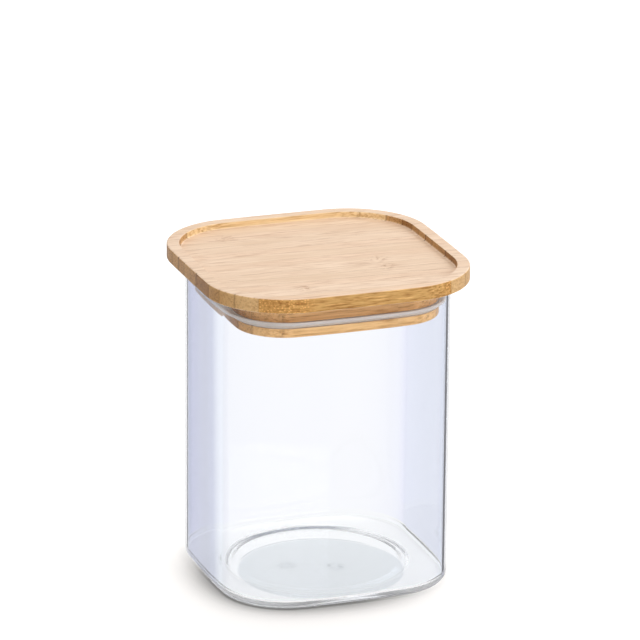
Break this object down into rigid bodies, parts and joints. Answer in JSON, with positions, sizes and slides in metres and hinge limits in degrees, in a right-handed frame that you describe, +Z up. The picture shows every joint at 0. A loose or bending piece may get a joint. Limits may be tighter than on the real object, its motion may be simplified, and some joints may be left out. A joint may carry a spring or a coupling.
{
  "type": "storage jar",
  "caption": "Square clear glass storage jar with round corners, a bamboo lid with a raised rim round its top, and a silicone seal round the plug.",
  "frame": {"origin": "the middle of the foot, on the surface that the jar stands on", "axes": "+Z up, the way the lid lifts; -Y the front; the staves of the lid run along X, turned by 1.8 degrees"},
  "size_m": [0.114, 0.114, 0.1382],
  "materials": {
    "clear_glass": "polished, clear",
    "silicone": "satin, milky",
    "bamboo_honey": "sanded and oiled",
    "bamboo_pale": "sanded and oiled",
    "bamboo_straw": "sanded and oiled"
  },
  "bodies": {
    "jar": {"glass_jar": "clear_glass"},
    "lid": {"seal_ring": "silicone", "stave_01": "bamboo_honey", "stave_02": "bamboo_pale", "stave_02_foot": "bamboo_pale", "stave_03": "bamboo_straw", "stave_04": "bamboo_honey", "stave_05": "bamboo_pale", "stave_06": "bamboo_straw", "stave_07": "bamboo_honey", "stave_08": "bamboo_pale", "stave_09": "bamboo_straw", "stave_10": "bamboo_honey", "stave_11": "bamboo_pale", "stave_12": "bamboo_straw", "stave_13": "bamboo_honey", "stave_14": "bamboo_pale", "stave_15": "bamboo_straw"}
  },
  "joints": [
    {"name": "lid_lift", "type": "slide", "parent": "jar", "child": "lid", "axis": [0, 0, 1], "range_m": [0, 0.12]}
  ]
}
